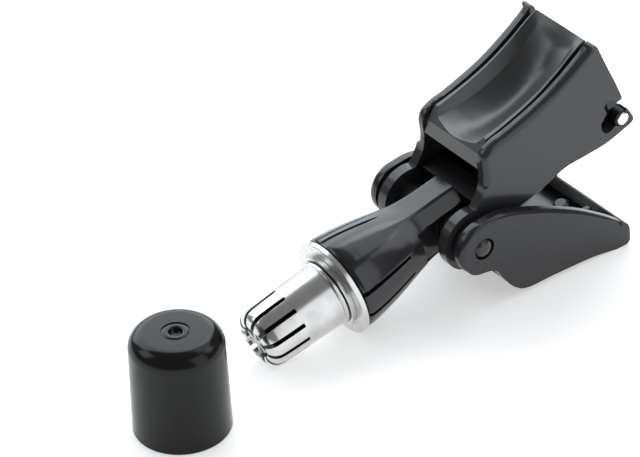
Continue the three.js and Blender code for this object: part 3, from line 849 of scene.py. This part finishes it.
# ---------------------------------------------------------------- barrel and cutter head
@dataclass
class Barrel:
    """The tapered barrel with its wedge grooves, its faceted neck and the pockets for the ears."""

    front: float = 22.4
    back: float = -3.2
    radius: float = 8.9
    neck: float = 5.8
    facets: int = 8
    pocket_side: float = 4.2
    grip_grooves: tuple[float, ...] = (17, -14, 163, 194)
    crown_groove: float = 97.0
    groove_rear: float = 10.8
    groove_steps: int = 14
    bore: float = 4.4
    neck_bore: float = 2.7
    bore_depth: float = 6.0

    def outer(self, x: float) -> float:
        """Radius of the round barrel at a place along it."""
        return table(x, (-3.2, self.neck), (3.0, self.neck + 0.05), (6.5, 6.15), (9.5, 6.8), (13.0, 7.6),
                     (16.5, 8.3), (19.5, 8.75), (21.3, self.radius), (22.5, self.radius))

    def section(self, x: float, angle: float) -> float:
        """Radius at a place along the barrel and an angle about it, from +y over the top."""
        sector = 2 * math.pi / self.facets
        within = (angle + math.pi / self.facets) % sector - math.pi / self.facets
        flat = math.cos(math.pi / self.facets) / math.cos(within) * 1.035
        roundness = smoothstep(4.5, 14.0, x) * 0.88 + smoothstep(14.0, 22.0, x) * 0.12
        return self.outer(x) * (min(flat, 1.02) * (1 - roundness) + roundness)

    def wedge(self, degrees: float, front_half: float, rear_half: float, front_depth: float,
              rear_depth: float) -> Form:
        """A groove's cutter: a wedge that is widest at the barrel's front and follows its surface.

        Args:
            degrees: Its angle about the barrel, from +y over the top.
            front_half: Half its width at the front, in millimetres.
            rear_half: Half its width at its squared rear end.
            front_depth: Its depth at the front.
            rear_depth: Its depth at the rear.

        Returns:
            The cutter's form.
        """
        end = self.front + 1
        steps = self.groove_steps
        stops = [self.groove_rear + (end - self.groove_rear) * i / steps for i in range(steps + 1)]

        def along(rear: float, ahead: float, x: float) -> float:
            return rear + (ahead - rear) * (x - self.groove_rear) / (end - self.groove_rear)

        floor = ((x, self.outer(x) - along(rear_depth, front_depth, x)) for x in stops)
        form = Form.plate(Outline().to(*floor, (end, 10.5), (self.groove_rear, 10.5)), -1, 1)
        form.shape(lambda co: Vector((co.x, co.y * along(rear_half, front_half, co.x), co.z)))
        return form.move(Matrix.Rotation(math.radians(degrees - 90), 4, "X"))

    def build(self, finishes: Finishes) -> None:
        """Builds the barrel by a spin whose rings are then shaped, cuts its grooves and dresses it."""
        rings, steps = 64, 192
        profile = [(self.bore, self.front - self.bore_depth), (self.bore, self.front),
                   (self.radius - 0.55, self.front),
                   (self.radius - 0.22, self.front - 0.18), (self.radius - 0.04, self.front - 0.55)]
        first = self.front - 1.0
        places = [first - (first - self.back) * i / rings for i in range(rings + 1)]
        profile += [(self.outer(x), x) for x in places]
        profile += [(self.neck_bore, self.back), (self.neck_bore, self.back + self.bore_depth)]
        form = Form.turned(profile, steps)

        def shape(co: Vector) -> Vector:
            radial = math.hypot(co.x, co.y)
            if radial < self.neck - 0.6 or co.z > first + 0.01:
                return co
            angle = math.atan2(co.y, co.x)
            radius = self.section(co.z, angle)
            return Vector((radius * math.cos(angle), radius * math.sin(angle), co.z))

        form.shape(shape)
        # the spin's x axis becomes +y and its y axis +z
        form.move(Matrix(((0, 0, 1, 0), (1, 0, 0, 0), (0, 1, 0, 0), (0, 0, 0, 1))))
        tools = self.wedge(self.crown_groove, 1.1, 0.12, 0.3, 0.25)
        tools.merge(*(self.wedge(degrees, 0.46, 0.27, 1.7, 1.0) for degrees in self.grip_grooves))
        form.cut(tools)
        form.move(Matrix.Translation((0, 0, AXIS_Z)))
        form.shape(self.pocket)
        form.place("barrel_cone", Body.BODY, finishes.barrel, node="barrel", sharp=40)

    def pocket(self, co: Vector) -> Vector:
        """Presses the flat pockets for the ears' bosses into the neck's sides."""
        across = smoothstep(-3.5, -3.1, co.z) * (1 - smoothstep(3.5, 3.9, co.z))
        inside = (1 - smoothstep(7.0, 7.5, co.x)) * across
        side = abs(co.y)
        if inside > 0 and side > self.pocket_side:
            co.y = math.copysign(side + (self.pocket_side - side) * inside, co.y)
        return co


@dataclass
class CutterHead:
    """The stepped collar, the slotted outer cutter and the winged blade that turns inside it."""

    collar_back: float = 22.65
    collar_front: float = 23.6
    collar_radius: float = 9.05
    step_radius: float = 6.8
    step_front: float = 24.6
    slots: int = 12
    slot_width: float = 0.8
    slot_start: float = 33.0
    first_slot: float = 21.0
    tip: float = 40.5
    blade_back: float = 25.4

    def collar(self) -> Form:
        """The collar's rim and its step."""
        c = 0.12
        back, front, step = self.collar_back, self.collar_front, self.step_front
        return Form.turned([(4.55, back), (self.collar_radius - c, back), (self.collar_radius, back + c),
                            (self.collar_radius, front - c), (self.collar_radius - c, front),
                            (self.step_radius + 0.35, front), (self.step_radius + 0.25, front - 0.12),
                            (self.step_radius, front - 0.12), (self.step_radius, step - c),
                            (self.step_radius - c, step), (4.55, step)], 160, closed=True).along_x()

    def outer(self) -> Form:
        """The slotted cone, with its fingers turned in round the mouth."""
        back = self.step_front + 0.15
        profile = [(5.2, back), (6.15, back), (6.25, back + 0.1), (6.25, 25.3), (6.15, 25.4), (5.9, 25.5),
                   (5.85, 25.7), (5.95, 26.2), (5.85, 29.5), (5.75, 33), (5.66, 36), (5.55, 38.2),
                   (5.42, 39.0), (5.2, 39.5), (4.85, 39.95), (4.4, 40.25), (4.0, 40.44), (3.6, self.tip),
                   (3.2, 40.44), (3.0, 40.2), (3.0, 39.6), (3.5, 39.3), (4.1, 38.8), (4.8, 37.4), (5.0, 33),
                   (5.2, 28)]
        shell = Form.turned(profile, 180, closed=True)
        tools = Form()
        side, turn = self.slot_width / 2, 360 / self.slots
        for i in range(self.slots):
            slot = Form.block((self.slot_start, 2.0, -side), (self.tip + 1, 9.0, side))
            slot.soften(0.1, 80, 2, lambda co: co.x < self.slot_start + 0.1 and abs(co.y - 5.5) < 1)
            slot.move(Matrix.Rotation(math.radians(self.first_slot + turn * i), 4, "X"))
            tools.merge(slot)
        shell.move(Matrix.Rotation(math.pi / 2, 4, "Y"))
        shell.cut(tools)
        shell.soften(0.07, 40, 2)
        return shell.move(Matrix.Translation((0, 0, AXIS_Z)))

    def inner(self) -> Form:
        """The turning blade."""
        back = self.blade_back
        envelope = Form.turned([(0, back), (4.6, back), (4.65, 36.8), (3.9, 38.1), (2.4, 39.1), (2.4, 40.0),
                                (2.3, 40.1), (0, 40.1)])
        blades = Form.turned([(0, back), (4.6, back), (4.6, 27.2), (1.7, 27.4), (1.7, 39.8), (1.55, 39.9),
                              (0, 39.9)])
        for degrees in (0, 60, 120):
            wing = Form.block((-4.8, -0.4, back), (4.8, 0.4, 40.3))
            blades.join(wing.move(Matrix.Rotation(math.radians(degrees), 4, "Z")))
        blades.combine("INTERSECT", envelope)
        return blades.along_x().soften(0.06, 40, 2)

    def build(self, finishes: Finishes) -> None:
        """Builds and dresses the collar and both cutters."""
        self.collar().place("head_collar", Body.BODY, finishes.cutter, node="collar", sharp=35)
        self.outer().place("slotted_cutter", Body.BODY, finishes.cutter, node="outer_cutter", sharp=35)
        self.inner().place("turning_blade", Body.ROTOR, finishes.blade, node="inner_cutter", sharp=35)


# ---------------------------------------------------------------- lever
@dataclass
class Lever:
    """The channel-shaped squeeze lever with its eyes, floor, end wall, rib and post, and the pivot pins."""

    half: float = 13.1
    wall: float = 2.0
    eye: float = 5.0
    bore: float = 2.05
    heel: Point = (-27.1, -20.1)
    edge: float = 0.4
    rim_edge: float = 0.9
    underside: tuple[Point, ...] = ((-6.3, -14.2), (-12.2, -15.6), (-20.6, -17.8), (-26.2, -20.0))
    rib: Point = (3.9, 5.1)
    post: float = 1.5
    post_x: float = -24.6
    post_ends: Point = (-18.4, -15.4)
    pin_ends: Point = (5.3, 13.45)

    def outline(self) -> Outline:
        """The cheek's outline."""
        line = Outline().arc((0, 0), self.eye, 100, -62)
        line.curve((-0.9, -5.9), (-2.2, -8.9), (-3.8, -12.1), *self.underside)
        self.heel_end(line)
        line.curve((-25.4, -11.8), (-20.0, -6.3), (-12.9, -0.6), (-5.6, 4.0), (-0.87, 4.924))
        line.points.pop()  # the curve ends where the eye's arc starts
        return line

    @staticmethod
    def heel_end(line: Outline) -> None:
        """Draws the squared end over the heel."""
        line.to((-27.3, -20.2)).round_to((-28.7, -20.5), (-28.95, -19.4)).to((-29.3, -17.5))
        line.round_to((-29.45, -15.8), (-28.4, -15.4))

    def floor(self) -> Outline:
        """The section of the floor and of the end wall."""
        line = Outline().to((-3.4, -11.4), (-3.8, -12.1))
        line.curve(*self.underside)
        self.heel_end(line)
        line.to((-27.0, -16.4), (-27.2, -18.2)).curve((-20.0, -15.8), (-12.4, -13.9), (-6.9, -12.5))
        return line.to((-5.0, -10.6))

    def on_rim(self, co: Vector) -> bool:
        """Whether a point lies on a cheek's outer edge, from the eye over the top to the heel."""
        clear_of_bore = math.hypot(co.x, co.z) > self.bore + 0.5
        clear_of_front = co.x < -6.0 or co.z > -3.0
        over_floor = co.z > max(-15.0, 0.3 * (co.x + 6) - 12.5) and co.x > -28.2
        return abs(co.y) > self.half - 0.01 and clear_of_bore and clear_of_front and over_floor

    def build(self, finishes: Finishes) -> None:
        """Builds and dresses the lever, its pins and what turns with it."""
        inner = self.half - self.wall
        cheek = Form.plate(self.outline(), inner, self.half)
        cheek.cut(rod(self.bore, inner - 1, self.half + 1, 72).along_y())
        twin = cheek.mirrored()
        form = cheek.join(twin, Form.plate(self.floor(), -inner - 0.5, inner + 0.5))
        rib_line = Outline().to((-17.5, -15.9), (-26.5, -18.8), (-27.6, -15.8), (-17.5, -13.6))
        rib = Form.plate(rib_line, *self.rib)
        post = rod(self.post, *self.post_ends, tip=0.5).move(Matrix.Translation((self.post_x, 0, 0)))
        form.join(rib.soften(0.35, 80, 3), post)
        ground = Form.block((-30, -20, -10), (30, 20, 0))
        heel = Matrix.Translation((self.heel[0], 0, self.heel[1]))
        ground.move(heel @ Matrix.Rotation(-BENCH.pitch, 4, "Y"))
        form.cut(ground)
        form.flatten()
        form.soften(self.rim_edge, 40, 5, self.on_rim, clamp=False)
        form.soften(self.edge, 30)
        form.place("squeeze_lever", Body.LEVER, finishes.lever, node="lever")
        root, crown = self.pin_ends
        pin = Form.turned([(0, root), (1.9, root), (1.9, 12.3), (1.82, 12.65), (1.6, 12.95), (1.25, 13.2),
                           (0.85, 13.35), (0.4, 13.43), (0, crown)], 64).along_y()
        other = pin.mirrored()
        pin.place("pivot_button_left", Body.BODY, finishes.gloss, node="pivot_pin_left")
        other.place("pivot_button_right", Body.BODY, finishes.gloss, node="pivot_pin_right")


# ---------------------------------------------------------------- cap
@dataclass
class Cap:
    """The loose cap that stands on its open rim, with a dimple in a ring on its top."""

    radius: float = 8.45
    top: float = 8.15
    height: float = 19.5
    shoulder: float = 3.0
    wall: float = 1.1

    def build(self, finishes: Finishes) -> None:
        """Builds the cap by a spin about its axis, and dresses it."""
        low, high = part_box("cap")
        centre = (low + high) / 2
        r, t, h, s, w = self.radius, self.top, self.height, self.shoulder, self.wall
        bend = [math.radians(6 * i) for i in range(16)]
        outside = [(t - s * (1 - math.cos(a)), h - s * (1 - math.sin(a))) for a in bend]
        inner_s = s - w
        inside = [(t - w - inner_s * (1 - math.cos(a)), h - w - inner_s * (1 - math.sin(a))) for a in bend]
        profile = [(r - w, 0.12), (r - w + 0.12, 0), (r - 0.3, 0), (r - 0.08, 0.1), (r, 0.35), *outside]
        profile += [(2.5, h), (2.44, h - 0.12), (2.26, h - 0.12), (2.2, h - 0.04), (1.32, h - 0.06),
                    (1.2, h - 0.14), (1.08, h - 0.5), (0.9, h - 0.85), (0.5, h - 0.95), (0, h - 0.98),
                    (0, h - w - 0.92)]
        profile += [*reversed(inside)]
        form = Form.turned(profile, 160, closed=True)
        form.move(Matrix.Translation((centre.x / MM, centre.y / MM, 0)))
        form.place("loose_cap", Body.CAP, finishes.cap, node="cap", bench=False, sharp=60)


# ---------------------------------------------------------------- what stays as drawn
class InnerWorks:
    """The gears, shafts, bushes and springs, which keep the shape that the design gives them."""

    def build(self, finishes: Finishes) -> None:
        """Dresses each inner piece."""
        dressed = (
            (finishes.inner, "gear_frame", "sector_gear", "pivot_washer"),
            (finishes.brass, "front_bush", "rear_bush", "shaft_pinion", "drive_pinion"),
            (finishes.pin, "drive_shaft", "gear_arbor"),
            (finishes.nylon, "crown_gear"),
            (finishes.spring, "cutter_spring", "retaining_ring", "return_spring"),
        )
        for finish, *names in dressed:
            for name in names:
                node = frame["nodes"][name]
                node.data.materials.clear()
                node.data.materials.append(finish.material)
                log.info("%s: dressed", name)


# ---------------------------------------------------------------- stage
@dataclass(frozen=True)
class SoftBox:
    """A rectangular soft light that faces the set.

    Attributes:
        name: Its name.
        azimuth: Its direction about +z from +x, in degrees.
        elevation: Its height over the floor's plane, in degrees.
        distance: Its distance, in metres.
        size: Its width and height, in metres.
        radiance: Its brightness.
        colour: Its tint.
    """

    name: str
    azimuth: float
    elevation: float
    distance: float
    size: tuple[float, float]
    radiance: float
    colour: tuple[float, float, float] = (0.96, 0.99, 1.03)

    def build(self, target: Vector) -> None:
        """Adds the light."""
        data = bpy.data.lights.new(self.name, "AREA")
        data.shape = "RECTANGLE"
        data.size, data.size_y = self.size
        data.color = self.colour
        data.energy = self.radiance * math.pi * self.size[0] * self.size[1]
        lamp = bpy.data.objects.new(self.name, data)
        lamp.location = target + direction(self.azimuth, self.elevation) * self.distance
        lamp.rotation_euler = (target - lamp.location).to_track_quat("-Z", "Y").to_euler()
        bpy.context.scene.collection.objects.link(lamp)


def direction(azimuth: float, elevation: float) -> Vector:
    """Unit vector towards an azimuth and an elevation, both in degrees."""
    a, e = math.radians(azimuth), math.radians(elevation)
    return Vector((math.cos(e) * math.cos(a), math.cos(e) * math.sin(a), math.sin(e)))


@dataclass
class Studio:
    """A pale floor, soft boxes with dark room between them, and the camera."""

    focal: float = 225.0
    sensor: float = 36.0
    target: tuple[float, float, float] = (0.00174, -0.01123, 0.01257)
    azimuth: float = 55.04
    elevation: float = 35.27
    roll: float = -3.0
    distance: float = 0.69216
    ambient: float = 0.2
    glow: float = 0.45
    floor_half: float = 4.0
    boxes: tuple[SoftBox, ...] = (
        SoftBox("rear_box", 250, 36, 0.62, (0.90, 0.62), 2.7, (0.92, 1.0, 1.05)),
        SoftBox("left_strip", 324, 38, 0.60, (0.24, 0.30), 2.0),
        SoftBox("right_box", 108, 25, 0.60, (0.34, 0.58), 1.15),
        SoftBox("top_box", 190, 60, 0.60, (0.56, 0.28), 1.5),
        SoftBox("right_patch", 149, 38, 0.60, (0.20, 0.26), 1.8),
    )

    def build(self) -> None:
        """Sets the floor, the lights and the camera."""
        self.floor()
        self.surround()
        for box in self.boxes:
            box.build(Vector((0, 0, 0.015)))
        self.camera()
        bpy.context.scene.view_settings.view_transform = "Standard"

    def floor(self) -> None:
        """A wide pale floor that glows a little, like a lit table."""
        form = Form()
        bmesh.ops.create_grid(form.bm, x_segments=1, y_segments=1, size=self.floor_half)
        floor = form.as_object("floor")
        form.bm.free()
        shade = Shade("pale_floor")
        soft = shade.noise(shade.place(), 30.0, 3.0)
        shade.set(Base_Color=shade.mix(soft, (0.93, 0.93, 0.93), (0.95, 0.95, 0.95)), Roughness=0.9,
                  Emission_Color=(1.0, 1.0, 1.0, 1.0), Emission_Strength=self.glow)
        floor.data.materials.append(shade.material)

    def surround(self) -> None:
        """A dim even world."""
        world = bpy.data.worlds.new("soft_room")
        world.use_nodes = True
        background = world.node_tree.nodes["Background"]
        background.inputs[0].default_value = (1.0, 1.0, 1.0, 1.0)
        background.inputs[1].default_value = self.ambient
        bpy.context.scene.world = world

    def camera(self) -> None:
        """A long lens over the left of the cutter, looking down at the set."""
        data = bpy.data.cameras.new("camera")
        data.lens = self.focal
        data.sensor_width = self.sensor
        data.clip_start = 0.01
        data.clip_end = 20.0
        camera = bpy.data.objects.new("camera", data)
        away = direction(self.azimuth, self.elevation)
        look = (-away).to_track_quat("-Z", "Y").to_matrix().to_4x4()
        roll = Matrix.Rotation(math.radians(self.roll), 4, "Z")
        camera.matrix_world = Matrix.Translation(Vector(self.target) + away * self.distance) @ look @ roll
        bpy.context.scene.collection.objects.link(camera)
        bpy.context.scene.camera = camera


def main() -> None:
    """Builds the stage and every sub-assembly."""
    logging.basicConfig(level=logging.INFO, format="%(name)s %(message)s")
    Studio().build()
    finishes = Finishes.make()
    BodyShells().build(finishes)
    ThumbRest().build(finishes)
    Barrel().build(finishes)
    CutterHead().build(finishes)
    Lever().build(finishes)
    Cap().build(finishes)
    InnerWorks().build(finishes)


if __name__ == "__main__":
    main()
